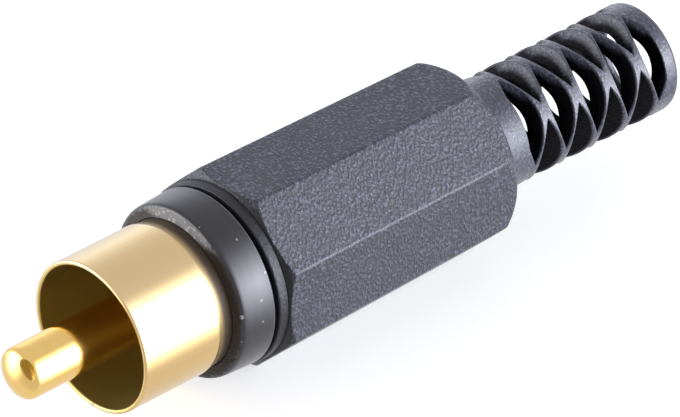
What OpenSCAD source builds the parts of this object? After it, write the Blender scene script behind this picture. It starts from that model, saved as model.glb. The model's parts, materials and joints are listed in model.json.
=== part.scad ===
// Phono plug for a cable: a drawn contact sleeve round a centre pin, carried by a black collar,
// and an eight-sided screw cap moulded in one with its slotted bend relief.
// The axis runs along +X, from the pin's nose to the cable end. The sleeve's rim is at X = 0.

/* [Contact sleeve] */
// Bore of the sleeve, which slips over the jack's collar
sleeve_bore_d = 8.6; // [8.3:0.05:9]
// Wall of the drawn sleeve
sleeve_wall = 0.28; // [0.2:0.02:0.34]
// How far the sleeve stands out of the front collar
sleeve_reach = 6.45; // [5:0.05:8]
// How deep the sleeve is seated in the front collar
sleeve_seat = 2; // [1.7:0.05:2.2]
// Outside diameter of the neck that is riveted through the collar's web
neck_d = 5.4; // [5.1:0.05:5.6]
// How far the riveted lip stands out from the neck
lip_step = 0.3; // [0.2:0.05:0.35]

/* [Centre pin] */
// Diameter of the contact pin
pin_d = 3.12; // [2.9:0.02:3.2]
// How far the pin's tip stands out of the sleeve's rim
pin_reach = 5.75; // [5:0.05:7]
// Length of the domed nose
nose_length = 0.6; // [0.4:0.05:1]
// Diameter of the pin where the insulator holds it
pin_seat_d = 2.6; // [2.5:0.02:2.7]
// Bore of the solder cup
wire_bore_d = 1.8; // [1.4:0.05:2]
// Depth of that bore, from the mouth of the cup
wire_bore_depth = 5.2; // [3:0.1:6]
// Diameter of the shoulder behind the insulator
shoulder_d = 4; // [3.6:0.1:4.4]
// Thickness of that shoulder
shoulder_thickness = 0.5; // [0.3:0.05:0.8]
// Length of the solder cup behind the shoulder
cup_length = 3; // [2:0.1:4]
// Length of the cut-away side of the solder cup
cup_cut_length = 1.8; // [1:0.1:1.9]
// Length along the axis of the nick at the nose
nick_length = 0.3; // [0.2:0.05:0.4]
// Depth of the nick
nick_depth = 0.23; // [0.15:0.01:0.3]
// Turn of the nick round the axis, from the top
nick_turn = 46; // [0:1:90]

/* [Insulator] */
// Thickness of the insulating disc in the sleeve
disc_thickness = 1; // [0.6:0.05:1.4]
// How far the insulator's hub stands out behind the riveted lip
hub_reach = 0.4; // [0.2:0.05:0.8]

/* [Front collar] */
// Length of the collar's visible band
collar_length = 2.42; // [2.3:0.02:3]
// Diameter of the band at its front edge
collar_front_d = 10.48; // [10.2:0.02:10.6]
// Diameter of the band at its rear edge
collar_rear_d = 10.72; // [10.6:0.02:10.9]
// Break on the band's edges
collar_edge = 0.12; // [0.05:0.01:0.2]
// Lead-in round the sleeve on the collar's front face
lead_in = 0.2; // [0.1:0.02:0.3]
// Thickness of the web that the sleeve is riveted to
web_thickness = 1; // [0.7:0.05:1.3]
// Diameter of the spigot inside the cap
spigot_d = 8.6; // [8.4:0.02:8.7]
// Length of the spigot behind the band
spigot_length = 6.4; // [5:0.1:8]
// Wall of the spigot
spigot_wall = 0.5; // [0.4:0.02:0.6]

/* [Ground tab] */
// Sheet thickness of the ground tab
tab_thickness = 0.5; // [0.3:0.05:0.6]
// Width of the arm along the bottom
arm_width = 2; // [1.5:0.1:2.4]
// Gap between the end of the spigot and the cable saddle
saddle_gap = 2; // [1:0.1:3]
// Length of the cable saddle
saddle_length = 4; // [3:0.1:5]
// How far the open saddle wraps round the cable, in degrees
saddle_wrap = 220; // [180:5:260]

/* [Cap body] */
// Gap between the collar and the cap
cap_gap = 0.28; // [0.2:0.02:0.4]
// Diameter of the cap's round front ring
cap_ring_d = 10.82; // [10.6:0.02:11]
// Length of that ring
cap_ring_length = 0.65; // [0.4:0.05:1]
// Number of flats round the cap
sides = 8; // [8:2:12]
// Distance across the flats at the front of the cap
flats_front = 11.11; // [11.05:0.01:11.6]
// Distance across the flats at the rear of the cap
flats_rear = 10.57; // [10.4:0.01:11]
// Length of the eight-sided body
body_length = 17.65; // [16:0.05:20]
// Length of the chamfer that cuts the corners at the front
front_chamfer = 0.35; // [0.2:0.05:0.6]
// Length of the chamfer that cuts the corners at the rear
rear_chamfer = 0.65; // [0.4:0.05:0.9]
// Bore of the cap
cap_bore_d = 9.2; // [9:0.02:9.4]
// Thickness of the cap's rear wall
cap_floor = 1.5; // [1:0.1:2]

/* [Bend relief] */
// Outside diameter of the bend relief
relief_d = 6.74; // [6.2:0.02:7]
// Bore for the cable
cable_bore_d = 5; // [4.6:0.05:5.2]
// Length of the bend relief behind the cap body
relief_length = 14.55; // [13:0.05:17]
// Plain length in front of the slots
plain_neck = 2.74; // [2:0.02:4]
// Round at the foot of the bend relief
neck_round = 0.3; // [0.1:0.05:0.6]
// Length of the plain ring at the end
end_ring = 0.95; // [0.6:0.05:1.5]
// Number of slots in a full row along the axis
row_slots = 5; // [4:1:6]
// Number of slots round the axis
slots_around = 3; // [2:1:3]
// Distance from a plain end to the middle of the nearest slot
row_end_gap = 0.53; // [0.4:0.01:0.7]
// Bridge left between the slots of a full row
row_bridge = 0.81; // [0.7:0.01:1]
// Bridge left between the slots of a stepped row
step_bridge = 0.6; // [0.5:0.01:0.9]
// How far round the axis a slot spans, in degrees
slot_span = 104; // [90:1:110]
// Depth below the bore at which the slot's flanks would meet
slot_root = 0.85; // [0.6:0.05:1.2]
// Turn of the first full row round the axis, from the top
slot_turn = 52.5; // [0:0.5:90]

/* [Fits] */
// Radial clearance where one fixed piece is seated in another
seat_clearance = 0.02; // [0.01:0.01:0.04]
// Clearance of the ground tab inside the spigot
tab_clearance = 0.06; // [0.04:0.01:0.1]

/* [Hidden] */
$fn = 96;
past = 1;

// Radii
sleeve_ir = sleeve_bore_d / 2;
sleeve_or = sleeve_ir + sleeve_wall;
neck_or = neck_d / 2;
neck_ir = neck_or - sleeve_wall;
lip_r = neck_or + lip_step;
pin_r = pin_d / 2;
pin_seat_r = pin_seat_d / 2;
nose_r = (pin_r * pin_r + nose_length * nose_length) / (2 * nose_length);
spigot_r = spigot_d / 2;
spigot_bore_r = spigot_r - spigot_wall;
tab_r = sqrt(pow(spigot_bore_r - tab_clearance, 2) - pow(arm_width / 2, 2));
cap_bore_r = cap_bore_d / 2;
relief_r = relief_d / 2;
cable_bore_r = cable_bore_d / 2;

// Stations along the axis, from the pin's nose to the cable end
tip_x = -pin_reach;
crease_x = tip_x + nose_length;
collar_x = sleeve_reach;
collar_rear_x = collar_x + collar_length;
web_x = collar_x + sleeve_seat;
web_rear_x = web_x + web_thickness;
flange_x = web_x - sleeve_wall;
disc_x = flange_x - disc_thickness;
lip_x = web_rear_x + tab_thickness;
lip_rear_x = lip_x + sleeve_wall;
hub_rear_x = lip_rear_x + hub_reach;
shoulder_rear_x = hub_rear_x + shoulder_thickness;
cup_rear_x = shoulder_rear_x + cup_length;
spigot_rear_x = collar_rear_x + spigot_length;
saddle_x = spigot_rear_x + saddle_gap;
saddle_rear_x = saddle_x + saddle_length;
cap_x = collar_rear_x + cap_gap;
body_x = cap_x + cap_ring_length;
body_rear_x = body_x + body_length;
floor_x = body_rear_x - cap_floor;
slots_x = body_rear_x + plain_neck;
relief_rear_x = body_rear_x + relief_length;
ring_x = relief_rear_x - end_ring;

// Taper of the flats, and the corner radius that goes with a distance across the flats
taper = atan((flats_front - flats_rear) / 2 / body_length);
function corner_r(flats) = flats / 2 / cos(180 / sides);
// How far in from an end face the ball is centred that meets the flats there and cuts the corners
function ball_depth(flats, chamfer) =
    (pow(corner_r(flats), 2) - pow(flats / 2, 2) + pow(chamfer, 2)) / (2 * chamfer);

// Pattern of the bend relief
row_pitch = (ring_x - slots_x - 2 * row_end_gap) / (row_slots - 1);
column_step = 360 / slots_around;
half_span = slot_span / 2;
root_r = cable_bore_r - slot_root;
flank_tilt = atan2(relief_r * cos(half_span) - root_r, relief_r * sin(half_span));

// Lays a shape that was drawn along Z along X
module along_x() {
    rotate([0, 90, 0]) children();
}

// Body of revolution about X, from points that hold a radius and a station
module turned(points) {
    along_x() rotate_extrude() polygon(points);
}

// Round rod along X between two stations
module rod(x0, x1, r) {
    translate([x0, 0, 0]) along_x() cylinder(h = x1 - x0, r = r);
}

// Shallow lens-shaped nick across the crease between the nose and the pin
module nick() {
    cutter_r = (pow(nick_length / 2, 2) + pow(nick_depth, 2)) / (2 * nick_depth);
    rotate([nick_turn, 0, 0])
        translate([crease_x - nick_length / 3, 0, pin_r - nick_depth + cutter_r])
            rotate([90, 0, 0]) cylinder(h = pin_d, r = cutter_r, center = true);
}

// Gold pin with a domed nose, a seat in the insulator and a hollow solder cup
module centre_pin() {
    color("goldenrod") difference() {
        union() {
            intersection() {
                translate([tip_x + nose_r, 0, 0]) sphere(r = nose_r);
                rod(tip_x - past, crease_x, pin_r);
            }
            rod(crease_x, disc_x, pin_r);
            rod(disc_x, hub_rear_x, pin_seat_r);
            rod(hub_rear_x, shoulder_rear_x, shoulder_d / 2);
            rod(shoulder_rear_x, cup_rear_x, pin_seat_r);
        }
        rod(cup_rear_x - wire_bore_depth, cup_rear_x + past, wire_bore_d / 2);
        translate([cup_rear_x - cup_cut_length, -shoulder_d / 2, 0])
            cube([cup_cut_length + past, shoulder_d, shoulder_d]);
        nick();
    }
}

// Drawn sleeve with a flange and a neck that is riveted over the ground tab
module contact_sleeve() {
    color("gold") turned([
        [sleeve_ir, 0], [sleeve_or, 0], [sleeve_or, web_x], [neck_or, web_x], [neck_or, lip_x],
        [lip_r, lip_x], [lip_r, lip_rear_x], [neck_ir, lip_rear_x], [neck_ir, flange_x], [sleeve_ir, flange_x]
    ]);
}

// Insulating disc in the sleeve, with a hub through the riveted neck
module pin_insulator() {
    bore_r = pin_seat_r + seat_clearance;
    disc_r = sleeve_ir - seat_clearance;
    hub_r = neck_ir - seat_clearance;
    color("dimgray") turned([
        [bore_r, disc_x], [disc_r, disc_x], [disc_r, flange_x], [hub_r, flange_x],
        [hub_r, hub_rear_x], [bore_r, hub_rear_x]
    ]);
}

// Black carrier: a smooth band in front, a web behind the sleeve, and a spigot for the cap
module front_collar() {
    front_r = collar_front_d / 2;
    rear_r = collar_rear_d / 2;
    seat_r = sleeve_or + seat_clearance;
    web_bore_r = neck_or + seat_clearance;
    color("black") turned([
        [seat_r + lead_in, collar_x], [front_r - collar_edge, collar_x], [front_r, collar_x + collar_edge],
        [rear_r, collar_rear_x - collar_edge], [rear_r - collar_edge, collar_rear_x],
        [spigot_r, collar_rear_x], [spigot_r, spigot_rear_x], [spigot_bore_r, spigot_rear_x],
        [spigot_bore_r, web_rear_x], [web_bore_r, web_rear_x], [web_bore_r, web_x], [seat_r, web_x],
        [seat_r, collar_x + lead_in]
    ]);
}

// Ground tab: a ring under the riveted lip, an arm along the bottom, and a step up to an open saddle
// for a cable as thick as the cable bore
module ground_tab() {
    color("darkgoldenrod") union() {
        difference() {
            rod(web_rear_x, lip_x, tab_r);
            rod(web_rear_x - past, lip_x + past, neck_or + seat_clearance);
        }
        translate([web_rear_x, -arm_width / 2, -tab_r])
            cube([saddle_x + tab_thickness - web_rear_x, arm_width, tab_thickness]);
        translate([saddle_x, -arm_width / 2, -tab_r]) difference() {
            cube([tab_thickness, arm_width, tab_r]);
            translate([-past, arm_width / 2, tab_r]) rod(0, tab_thickness + 2 * past, cable_bore_r);
        }
        translate([saddle_x, 0, 0]) along_x() rotate([0, 0, -saddle_wrap / 2])
            rotate_extrude(angle = saddle_wrap)
                translate([cable_bore_r, 0]) square([tab_thickness, saddle_length]);
    }
}

// Tapered body with flats, its corners rounded off by a ball at both ends
module flatted_body() {
    blank_r = corner_r(flats_front) + past;
    front_depth = ball_depth(flats_front, front_chamfer);
    rear_depth = ball_depth(flats_rear, rear_chamfer);
    intersection() {
        difference() {
            rod(body_x, body_rear_x, blank_r);
            for (i = [0 : sides - 1])
                rotate([i * 360 / sides, 0, 0]) translate([body_x, 0, flats_front / 2]) rotate([0, taper, 0])
                    translate([-past, -blank_r, 0]) cube([body_length + 2 * past, 2 * blank_r, blank_r]);
        }
        union() {
            translate([body_x + front_depth, 0, 0]) sphere(r = norm([front_depth, flats_front / 2]));
            rod(body_x + front_depth, body_rear_x + past, blank_r);
        }
        union() {
            translate([body_rear_x - rear_depth, 0, 0]) sphere(r = norm([rear_depth, flats_rear / 2]));
            rod(body_x - past, body_rear_x - rear_depth, blank_r);
        }
    }
}

// Wedge with its edge along Y, opening upwards to the slot's width at the relief's surface
module flank_wedge(slot_width) {
    rise = relief_r - root_r;
    slope = slot_width / 2 / rise / cos(flank_tilt);
    reach = relief_d;
    rotate([90, 0, 0]) linear_extrude(height = 2 * relief_d, center = true)
        polygon([[0, 0], [slope * reach, reach], [-slope * reach, reach]]);
}

// Lens-shaped slot through the relief's wall, pointed at both ends and narrower at the bore
module slot(slot_width) {
    translate([0, 0, root_r]) intersection() {
        rotate([flank_tilt, 0, 0]) flank_wedge(slot_width);
        rotate([-flank_tilt, 0, 0]) flank_wedge(slot_width);
    }
}

// Staggered slots: full rows, and stepped rows half a pitch on and half a column round
module relief_slots() {
    intersection() {
        union() {
            for (i = [0 : row_slots - 1], c = [0 : slots_around - 1])
                translate([slots_x + row_end_gap + i * row_pitch, 0, 0])
                    rotate([slot_turn + c * column_step, 0, 0]) slot(row_pitch - row_bridge);
            for (i = [0 : row_slots - 2], c = [0 : slots_around - 1])
                translate([slots_x + row_end_gap + (i + 0.5) * row_pitch, 0, 0])
                    rotate([slot_turn + (c + 0.5) * column_step, 0, 0]) slot(row_pitch - step_bridge);
        }
        rod(slots_x, ring_x, relief_d);
    }
}

// Tube of the bend relief, with a small cone at its foot
module relief_tube() {
    turned([
        [0, floor_x], [relief_r + neck_round, floor_x], [relief_r + neck_round, body_rear_x],
        [relief_r, body_rear_x + neck_round], [relief_r, relief_rear_x], [0, relief_rear_x]
    ]);
}

// Eight-sided cap and bend relief, moulded in one
module cap() {
    color("dimgray") difference() {
        union() {
            rod(cap_x, body_x + front_chamfer, cap_ring_d / 2);
            flatted_body();
            difference() {
                relief_tube();
                relief_slots();
            }
        }
        rod(cap_x - past, floor_x, cap_bore_r);
        rod(floor_x - past, relief_rear_x + past, cable_bore_r);
    }
}

centre_pin();
contact_sleeve();
pin_insulator();
front_collar();
ground_tab();
cap();
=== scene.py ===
"""Phono plug for a cable, dressed for a studio picture.

A gold pin and sleeve stand in a black collar, and a grained eight-sided cap, moulded in one with its slotted
bend relief, screws onto the collar from behind. Each new piece is a profile of stations along X and radii
that is carried round the plug's axis, with the radii and stations free to change with the angle.
"""

import json
import math

import bmesh
import bpy
import numpy as np
from bpy.props import FloatProperty, FloatVectorProperty, IntProperty, PointerProperty
from bpy.types import NodeSocket, Operator, Panel, PropertyGroup
from mathutils import Matrix, Vector


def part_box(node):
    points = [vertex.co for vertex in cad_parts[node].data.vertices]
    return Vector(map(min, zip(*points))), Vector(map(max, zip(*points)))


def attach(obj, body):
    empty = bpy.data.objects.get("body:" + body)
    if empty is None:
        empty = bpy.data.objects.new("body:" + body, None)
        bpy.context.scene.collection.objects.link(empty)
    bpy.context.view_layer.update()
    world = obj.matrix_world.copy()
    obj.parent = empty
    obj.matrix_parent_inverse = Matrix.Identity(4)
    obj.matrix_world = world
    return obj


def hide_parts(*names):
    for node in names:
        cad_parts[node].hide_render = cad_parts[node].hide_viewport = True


bl_info = {
    "name": "Phono plug",
    "version": (1, 0, 0),
    "blender": (4, 5, 0),
    "location": "View3D > Sidebar > Plug",
    "description": "Builds a phono plug with a slotted bend relief, and the stage it lies on",
    "category": "Add Mesh",
}

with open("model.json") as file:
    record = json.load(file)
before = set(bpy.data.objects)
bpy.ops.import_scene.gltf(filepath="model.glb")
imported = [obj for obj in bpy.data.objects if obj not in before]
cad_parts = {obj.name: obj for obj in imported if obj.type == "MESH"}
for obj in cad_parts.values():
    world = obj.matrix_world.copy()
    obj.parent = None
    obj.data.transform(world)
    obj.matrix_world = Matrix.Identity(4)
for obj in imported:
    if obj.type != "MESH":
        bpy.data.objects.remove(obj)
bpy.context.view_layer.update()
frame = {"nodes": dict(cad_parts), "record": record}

MM = 0.001
PIN_LOW, PIN_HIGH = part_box("centre_pin")
SLEEVE_LOW, SLEEVE_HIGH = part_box("contact_sleeve")
DISC_LOW, DISC_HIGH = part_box("pin_insulator")
COLLAR_LOW, COLLAR_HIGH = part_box("front_collar")
CAP_LOW, CAP_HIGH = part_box("cap")
MOUNTS = {mount["name"]: mount["dims"] for mount in frame["record"]["mounts"]}

# Points closer together than this are welded
WELD = 2e-7
# Edges steeper than this are shaded as sharp
SHARP_ANGLE = math.radians(50)
# Columns round the axis, on a turned piece and on the cap
ROUND_COLUMNS = 256
CAP_COLUMNS = 288
# Columns across a rounded corner of the cap. Shares of the corner's half width: how far these columns reach
# from its middle, and how far the evenly spaced ones stay away
CORNER_COLUMNS = 7
CORNER_REACH = 1.2
CORNER_CLEAR = 1.6
# Rows along the pin's dome and crease, the sleeve's root, the collar's face, and one turn of each thread
DOME_ROWS = 40
CREASE_ROWS = 16
ROOT_ROWS = 18
FACE_ROWS = 8
SPIGOT_THREAD_ROWS = 8
BORE_THREAD_ROWS = 5
# Largest share of a side that a round takes up
ROUND_SHARE = 0.48
# Share of the collar's front face that is uneven, and share of the cap's front corner cuts that is
# painted dark as shade
UNEVEN_SHARE = 0.65
CUT_SHARE = 0.8
# How steeply the cut side of the solder cup rises, and the worn colour sets in at the edge of the nick
CUP_STEEPNESS = 6
NICK_STEEPNESS = 6


def length(name, description, default):
    """A length in metres."""
    return FloatProperty(name=name, description=description, default=default, unit="LENGTH", precision=5)


def angle(name, description, degrees):
    """An angle, given in degrees and kept in radians."""
    return FloatProperty(name=name, description=description, default=math.radians(degrees), subtype="ANGLE")


def number(name, description, default):
    """A plain number."""
    return FloatProperty(name=name, description=description, default=default)


def colour(name, description, default):
    """A linear colour."""
    return FloatVectorProperty(name=name, description=description, default=default, subtype="COLOR",
                               min=0, max=1)


class PinSizes(PropertyGroup):
    """Sizes of the centre pin."""
    radius: length("Radius", "Radius of the contact pin", MOUNTS["centre_pin"]["r_mm"] * MM)
    nose_length: length("Nose", "Length of the domed nose", 0.6 * MM)
    crease_round: length("Crease", "Round at the crease behind the nose", 0.27 * MM)
    seat_radius: length("Seat", "Radius where the insulator holds the pin", 1.3 * MM)
    shoulder_length: length("Shoulder", "Thickness of the shoulder behind the insulator", 0.5 * MM)
    cup_cut: length("Cup cut", "Length of the cut-away side of the solder cup", 1.8 * MM)
    bore_radius: length("Wire bore", "Radius of the solder cup's bore", MOUNTS["wire_bore"]["r_mm"] * MM)
    bore_depth: length("Bore depth", "Depth of that bore", MOUNTS["wire_bore"]["length_mm"] * MM)
    edge: length("Edge", "Round on the pin's other edges", 0.06 * MM)
    nick_length: length("Nick length", "Length of the nick from the crease down the nose", 0.7 * MM)
    nick_width: length("Nick width", "Width of the nick round the nose", 1.35 * MM)
    nick_depth: length("Nick depth", "Depth of the nick", 0.2 * MM)
    nick_angle: angle("Nick angle", "Angle of the nick above the near side", 44)


class SleeveSizes(PropertyGroup):
    """Sizes of the drawn contact sleeve."""
    radius: length("Radius", "Outside radius of the sleeve", SLEEVE_HIGH.z)
    wall: length("Wall", "Wall of the sleeve", 0.28 * MM)
    seat: length("Seat", "How deep the sleeve sits in the collar", 2.0 * MM)
    neck_radius: length("Neck", "Outside radius of the riveted neck", 2.7 * MM)
    lip_radius: length("Lip", "Radius of the riveted lip", 3.0 * MM)
    rim_round: length("Rim", "Round of the sleeve's rim", 0.13 * MM)
    root_length: length("Root length", "From the collar to where the sleeve starts to narrow", 1.2 * MM)
    root_neck: length("Root neck", "How much its radius shrinks there", 0.12 * MM)


class CollarSizes(PropertyGroup):
    """Sizes of the black collar and its spigot."""
    front_radius: length("Front radius", "Radius of the band at its front edge", 5.24 * MM)
    rear_radius: length("Rear radius", "Radius of the band at its rear edge", COLLAR_HIGH.z)
    band_length: length("Band", "Length of the visible band", 2.42 * MM)
    edge: length("Edge", "Round of the band's front edge", 0.34 * MM)
    rear_edge: length("Rear edge", "Round of the band's rear edge", 0.08 * MM)
    recess: length("Recess", "Width and depth of the lead-in round the sleeve", 0.04 * MM)
    face_depth: length("Face depth", "How far the front face falls back towards its outer edge", 0.14 * MM)
    crumb: length("Crumb", "Height of the uneven skin on the front face", 0.035 * MM)
    clearance: length("Clearance", "Room round the sleeve", 0.02 * MM)
    web: length("Web", "Thickness of the web behind the sleeve", 1.0 * MM)
    spigot_radius: length("Spigot", "Root radius of the threaded spigot", 4.3 * MM)
    spigot_wall: length("Spigot wall", "Wall of the spigot", 0.5 * MM)
    thread_pitch: length("Thread pitch", "Pitch of the screw thread", 0.8 * MM)
    thread_height: length("Thread height", "Height of the thread on the spigot", 0.15 * MM)


class CapSizes(PropertyGroup):
    """Sizes of the eight-sided cap."""
    sides: IntProperty(name="Sides", description="Number of flats", default=8, min=3)
    ring_radius: length("Ring radius", "Radius of the round front ring", 5.41 * MM)
    ring_length: length("Ring length", "Length of the round front ring", 0.65 * MM)
    front_flat: length("Front flat", "Distance from the axis to a flat at the front", CAP_HIGH.z)
    rear_flat: length("Rear flat", "Distance from the axis to a flat at the rear", 5.285 * MM)
    body_length: length("Body", "Length of the eight-sided body", 17.65 * MM)
    front_cut: length("Front cut", "Length of the corner cuts at the front", 0.35 * MM)
    rear_cut: length("Rear cut", "Length of the corner cuts at the rear", 0.65 * MM)
    edge: length("Edge", "Round along the edges between the flats", 0.28 * MM)
    end_edge: length("End edge", "Round across the ends of the flats", 0.1 * MM)
    bore_radius: length("Bore", "Radius of the cap's bore", 4.6 * MM)
    floor: length("Floor", "Thickness of the cap's rear wall", 1.5 * MM)
    thread_height: length("Thread height", "Height of the thread in the bore", 0.09 * MM)
    thread_length: length("Thread length", "Length of the thread in the bore", 6.4 * MM)


class ReliefSizes(PropertyGroup):
    """Sizes of the slotted bend relief."""
    radius: length("Radius", "Outside radius of the bend relief", 3.37 * MM)
    bore_radius: length("Bore", "Radius of the cable bore", MOUNTS["cable_entry"]["r_mm"] * MM)
    plain_neck: length("Neck", "Plain length in front of the slots", 2.74 * MM)
    end_ring: length("End ring", "Length of the plain ring at the end", 0.95 * MM)
    foot: length("Foot", "Round at the foot of the bend relief", 0.3 * MM)
    row_slots: IntProperty(name="Slots", description="Number of slots in a full row", default=5, min=2)
    around: IntProperty(name="Columns", description="Number of slots round the axis", default=3, min=2)
    end_gap: length("End gap", "From a plain end to the middle of the nearest slot", 0.53 * MM)
    row_bridge: length("Row bridge", "Bridge between the slots of a full row", 0.81 * MM)
    step_bridge: length("Step bridge", "Bridge between the slots of a stepped row", 0.6 * MM)
    span: angle("Span", "How far round the axis a slot spans", 104)
    root: length("Root", "Depth below the bore at which the slot's flanks would meet", 0.5 * MM)
    turn: angle("Turn", "Angle of the first full row above the near side", 37.5)
    rib_round: length("Rib round", "Round along the ribs' edges", 0.05 * MM)


class FinishColours(PropertyGroup):
    """Colours of the finishes."""
    gold: colour("Gold", "Colour of the pin's plating", (0.98, 0.655, 0.22))
    gold_dust: colour("Gold dust", "Colour of the dust specks on the plating", (0.62, 0.5, 0.3))
    sleeve: colour("Sleeve", "Colour of the hazy plating on the sleeve", (0.81, 0.557, 0.222))
    inside: colour("Inside", "Colour of the thin plating inside the sleeve", (0.59, 0.47, 0.15))
    # Painted shade and reflection of the collar, on the sleeve's root
    painted_shade: colour("Root_shade", "Colour of the tarnish at the sleeve's root", (0.070, 0.048, 0.028))
    nick: colour("Nick", "Colour of the worn metal in the pin's nick", (0.36, 0.185, 0.012))
    insulator: colour("Insulator", "Colour of the insulating plastic", (0.32, 0.27, 0.18))
    collar: colour("Collar", "Colour of the collar's plastic", (0.010, 0.0085, 0.013))
    collar_rubbed: colour("Rubbed collar", "Colour where the collar is rubbed", (0.024, 0.023, 0.027))
    # Painted highlight along the collar's rear edge
    collar_edge_highlight: colour("Highlit edge", "Colour of the collar's worn rear edge", (0.22, 0.22, 0.24))
    collar_dust: colour("Collar dust", "Colour of the dust specks on the collar", (0.5, 0.5, 0.5))
    # The collar's front face: its crumbly grey is partly its own and partly painted light higher up; lower
    # down it is painted shade
    collar_face: colour("Face", "Colour of the collar's crumbly front face, higher up", (0.50, 0.495, 0.50))
    collar_crumb: colour("Crumbs", "Colour of the crumbs on that face", (0.94, 0.94, 0.96))
    collar_face_shade: colour("Shadowed", "Colour of that face, lower down", (0.034, 0.024, 0.017))
    cap: colour("Cap", "Colour of the cap's plastic", (0.020, 0.020, 0.033))
    # The grain's peaks are paler partly as painted glints
    cap_peak: colour("Cap peaks", "Colour of the grain's peaks", (0.130, 0.135, 0.215))
    cap_dust: colour("Cap dust", "Colour of the dust specks on the cap", (0.3, 0.3, 0.32))
    cap_ring: colour("Cap ring", "Colour of the cap's smoother front ring", (0.013, 0.012, 0.018))
    # Painted shade deep in the relief's slots and on the near front corner cuts
    slot: colour("Slots", "Colour deep in the relief's slots", (0.004, 0.003, 0.005))
    tab: colour("Tab", "Colour of the ground tab's plating", (0.74, 0.58, 0.33))
    floor: colour("Floor", "Colour of the floor", (0.9, 0.9, 0.9))


class StageSettings(PropertyGroup):
    """Camera, surroundings and floor."""
    azimuth: angle("Azimuth", "Camera's turn about the upright axis", -43.106)
    elevation: angle("Elevation", "Camera's height above the horizon", 34.136)
    roll: angle("Roll", "Camera's roll about its line of sight", 0.488)
    distance: length("Distance", "From the camera to the point it looks at", 0.5)
    target: FloatVectorProperty(name="Target", description="Point that the camera looks at", size=3,
                                unit="LENGTH", default=(12.73 * MM, -6.33 * MM, 5.95 * MM))
    lens: number("Lens", "Focal length in millimetres on a 36 mm sensor", 482.68)
    light_distance: length("Light distance", "From the plug to each light", 0.3)
    fill: number("Fill", "Strength of the white surroundings as light on the plug", 0.45)
    horizon: number("Horizon", "Brightness of the surroundings in a mirror, level with the plug", 0.9)
    zenith: number("Zenith", "Brightness of the surroundings in a mirror, above the plug", 0.78)
    cool: colour("Cool", "Colour of the surroundings", (0.96, 0.955, 1.0))
    dark_azimuth: angle("Dark azimuth", "Direction of the dark side of the surroundings", -52)
    dark_share: number("Dark share", "Brightness of that side, compared with the rest", 0.8)
    floor_glow: number("Floor glow", "Part of the floor's white that no shadow dims", 0.6)
    floor_size: length("Floor size", "Half the side of the floor", 0.6)


def light_settings(name, title, azimuth, elevation, size, strength, light, tint):
    """Property group of one soft light, with its own defaults."""
    settings = {
        "azimuth": angle("Azimuth", f"Direction of {title}, from the near side towards the cable", azimuth),
        "elevation": angle("Elevation", f"Height of {title} above the horizon", elevation),
        "size": length("Size", f"Side of {title}, which is square", size),
        "strength": number("Strength", f"Brightness of the middle of {title} in a mirror", strength),
        "light": number("Light", f"Brightness of {title} as light on the plug", light),
        "colour": colour("Colour", f"Colour of {title}", tint),
    }
    return type(name, (PropertyGroup,), {"__doc__": f"Settings of {title}.", "__annotations__": settings})


KeyLight = light_settings("KeyLight", "the key light", azimuth=35.4, elevation=9, size=0.77, strength=15.0,
                          light=12.5, tint=(0.87, 0.91, 1.0))
RearLight = light_settings("RearLight", "the light behind the plug", azimuth=145, elevation=10, size=0.5,
                           strength=0.8, light=0.6, tint=(0.6, 0.8, 1.0))
LeftLight = light_settings("LeftLight", "the light behind the plug on the left", azimuth=-134, elevation=3,
                           size=0.65, strength=7.0, light=21.0, tint=(0.95, 0.97, 1.0))


def rounded_path(corners, rounds, steps=4):
    """Closed profile through corners, with some of them rounded.

    corners is (count, columns, 2): a station and a radius for every angle. Where a corner C has a round, its
    place is taken by the parabola (1-t)^2 A + 2t(1-t) C + t^2 B, with A and B that far from C towards its
    neighbours, but never past the middle of a side. A round of None keeps the sharp corner."""
    to_last = np.roll(corners, 1, axis=0) - corners
    to_next = np.roll(corners, -1, axis=0) - corners
    t = np.linspace(0, 1, steps)[:, None, None]
    path = []
    for corner, last, following, reach in zip(corners, to_last, to_next, rounds):
        if reach is None:
            path.append(corner[None])
            continue
        start, end = (toward(side, reach) for side in (last, following))
        path.append(corner + (1 - t) ** 2 * start + t ** 2 * end)
    return np.concatenate(path)


def toward(side, reach):
    """Vectors along side, as long as reach but at most a share of the side."""
    size = np.maximum(np.linalg.norm(side, axis=-1), 1e-12)
    return side * (np.minimum(reach, ROUND_SHARE * size) / size)[:, None]


def profile(points, columns):
    """Corners and rounds of a profile, from rows of (station, radius, round). Each of these is a number or
    has one value per column."""
    corners = [np.stack(np.broadcast_arrays(x, r, np.zeros(columns))[:2], axis=-1) for x, r, _ in points]
    return np.array(corners), [reach for _, _, reach in points]


def carried_round(path, angles):
    """Profile carried round the X axis: station x and radius r at angle a go to (x, -r cos a, r sin a)."""
    x, r = path[..., 0], path[..., 1]
    return np.stack([x, -r * np.cos(angles), r * np.sin(angles)], axis=-1)


def grid_quads(rows, columns, closed=True):
    """Quads between neighbouring rows and columns, (rows, columns, 4). Columns close on themselves."""
    row = np.arange(rows if closed else rows - 1)[:, None]
    column = np.arange(columns)[None, :]
    after, beside = (row + 1) % rows, (column + 1) % columns
    corners = ((row, column), (after, column), (after, beside), (row, beside))
    return np.stack(np.broadcast_arrays(*(r * columns + c for r, c in corners)), axis=-1)


def even_angles(columns):
    """Angles spread evenly round the axis."""
    return np.linspace(0, 2 * math.pi, columns, endpoint=False)


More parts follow.
